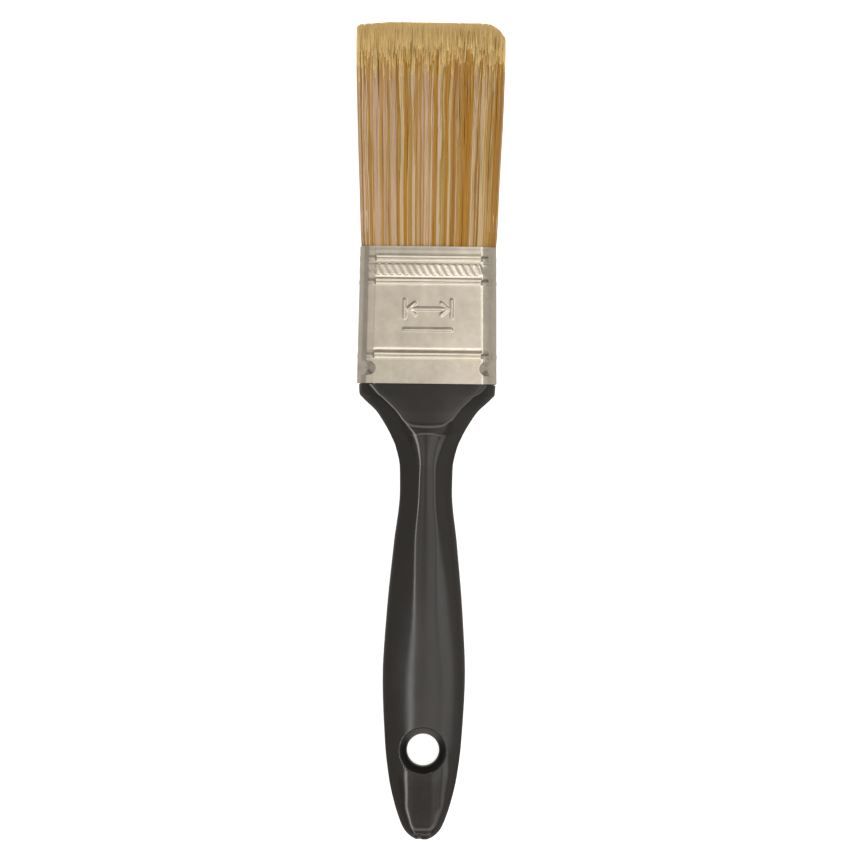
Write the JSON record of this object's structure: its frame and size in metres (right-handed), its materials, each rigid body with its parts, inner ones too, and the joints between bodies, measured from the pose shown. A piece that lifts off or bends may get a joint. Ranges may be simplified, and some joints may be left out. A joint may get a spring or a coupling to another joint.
{
  "type": "flat paint brush",
  "caption": "Flat synthetic filament paint brush with a beaded metal ferrule, a black moulded beavertail handle and a countersunk hang hole",
  "frame": {"origin": "centre of the bounding box in X and Y, at the height of the surface that the brush lies on", "axes": "+Y along the brush from the tail of the handle to the bristle tips, +X across its width, +Z out of its front face"},
  "size_m": [0.042, 0.23, 0.0145],
  "materials": {
    "handle_plastic": "glossy black moulded plastic",
    "plated_steel": "bright plated thin sheet with stamped beads",
    "plug_plastic": "dull grey moulded plastic",
    "epoxy": "cured amber resin",
    "gold_filament": "golden tapered polyester filament, satin",
    "white_filament": "pale cream tapered polyester filament, satin"
  },
  "bodies": {
    "handle_assembly": {"handle": "handle_plastic", "ferrule": "plated_steel", "spacer_plug": "plug_plastic", "epoxy_setting": "epoxy", "tuft_foot_front_1": "white_filament", "tuft_foot_front_2": "gold_filament", "tuft_foot_front_3": "white_filament", "tuft_foot_front_4": "gold_filament", "tuft_foot_front_5": "white_filament", "tuft_foot_front_6": "gold_filament", "tuft_foot_back_1": "gold_filament", "tuft_foot_back_2": "white_filament", "tuft_foot_back_3": "gold_filament", "tuft_foot_back_4": "white_filament", "tuft_foot_back_5": "gold_filament", "tuft_foot_back_6": "white_filament"},
    "bristles": {"tuft_front_1": "white_filament", "tuft_front_2": "gold_filament", "tuft_front_3": "white_filament", "tuft_front_4": "gold_filament", "tuft_front_5": "white_filament", "tuft_front_6": "gold_filament", "tuft_back_1": "gold_filament", "tuft_back_2": "white_filament", "tuft_back_3": "gold_filament", "tuft_back_4": "white_filament", "tuft_back_5": "gold_filament", "tuft_back_6": "white_filament"}
  },
  "joints": [
    {"name": "bristle_flex", "type": "hinge", "parent": "handle_assembly", "child": "bristles", "pos_m": [0, 0.0545, 0.00725], "axis": [1, 0, 0], "range_deg": [-30, 30], "stiffness_Nm_per_rad": 0.4}
  ]
}
